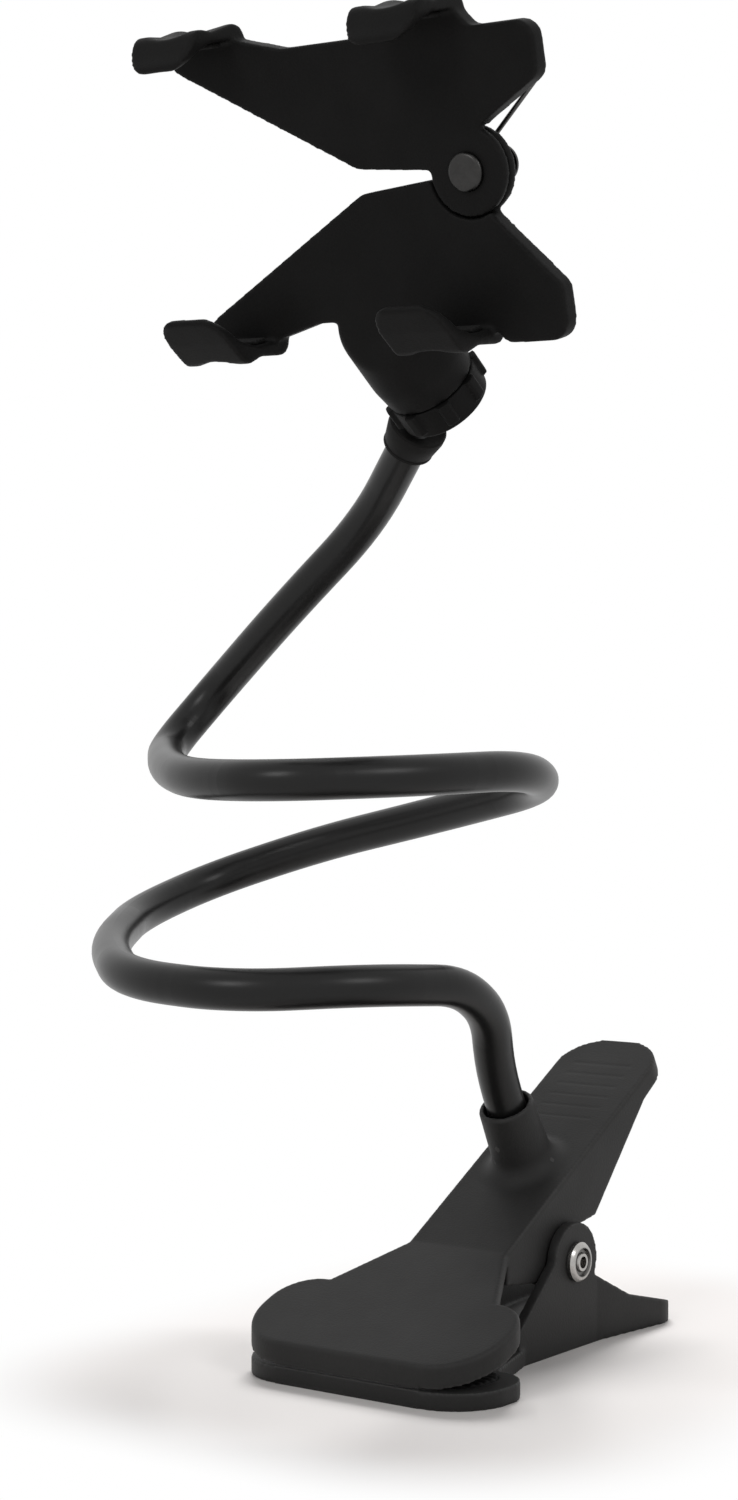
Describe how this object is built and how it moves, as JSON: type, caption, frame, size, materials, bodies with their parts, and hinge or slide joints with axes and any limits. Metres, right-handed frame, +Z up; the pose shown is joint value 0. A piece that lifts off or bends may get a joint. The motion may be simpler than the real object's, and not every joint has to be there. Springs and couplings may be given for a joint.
{
  "type": "clip-on gooseneck device holder",
  "caption": "Spring clamp base with a bendable gooseneck arm, a ball joint and a sprung claw clip that holds a small flat device.",
  "frame": {"origin": "on the lower lever's flat underside, straight below the middle of the hinge pin", "axes": "+X along the hinge pin, +Y from the jaw mouth towards the handles, +Z up"},
  "size_m": [0.1437, 0.1257, 0.2837],
  "materials": {
    "body_plastic": "fine satin moulded texture",
    "sleeve_plastic": "smooth satin",
    "core_aluminium": "drawn",
    "rivet_steel": "bright plated",
    "spring_steel": "drawn wire",
    "stud_metal": "satin black",
    "pad_rubber": "matt"
  },
  "bodies": {
    "base": {"lower_lever": "body_plastic", "hinge_rivet": "rivet_steel", "lower_jaw_pad": "pad_rubber", "clamp_spring": "spring_steel"},
    "arm": {"upper_lever": "body_plastic", "upper_jaw_pad": "pad_rubber", "gooseneck_sleeve": "sleeve_plastic", "gooseneck_core": "core_aluminium", "neck_ferrule": "body_plastic"},
    "stud": {"ball_stud": "stud_metal"},
    "ring": {"lock_ring": "body_plastic"},
    "cradle": {"lower_claw_lever": "body_plastic", "claw_pivot": "rivet_steel", "claw_spring": "spring_steel", "claw_pad_lower_left": "pad_rubber", "claw_pad_lower_right": "pad_rubber"},
    "upper_claw": {"upper_claw_lever": "body_plastic", "claw_pad_upper_left": "pad_rubber", "claw_pad_upper_right": "pad_rubber"}
  },
  "joints": [
    {"name": "clamp_hinge", "type": "hinge", "parent": "base", "child": "arm", "pos_m": [0, 0, 0.019], "axis": [-1, 0, 0], "range_deg": [0, 38], "stiffness_Nm_per_rad": 1, "springref_deg": -57.3, "deforming": ["clamp_spring"]},
    {"name": "stud_spin", "type": "hinge", "parent": "arm", "child": "stud", "pos_m": [-0.00537, -0.02354, 0.2085], "axis": [-0.7045, 0.3894, -0.5933], "range_deg": [-90, 90]},
    {"name": "head_tilt", "type": "hinge", "parent": "stud", "child": "ring", "pos_m": [-0.00537, -0.02354, 0.2085], "axis": [-0.2819, 0.6137, 0.7375], "range_deg": [0, 80]},
    {"name": "head_roll", "type": "hinge", "parent": "ring", "child": "cradle", "pos_m": [-0.00537, -0.02354, 0.2085], "axis": [0.0574, 0.7781, -0.6255], "range_deg": [-90, 90]},
    {"name": "claw_hinge", "type": "hinge", "parent": "cradle", "child": "upper_claw", "pos_m": [0.02411, -0.05105, 0.24804], "axis": [0.0122, 0.9563, 0.2921], "range_deg": [-10, 15], "stiffness_Nm_per_rad": 0.3, "springref_deg": -45.84, "deforming": ["claw_spring"]}
  ]
}
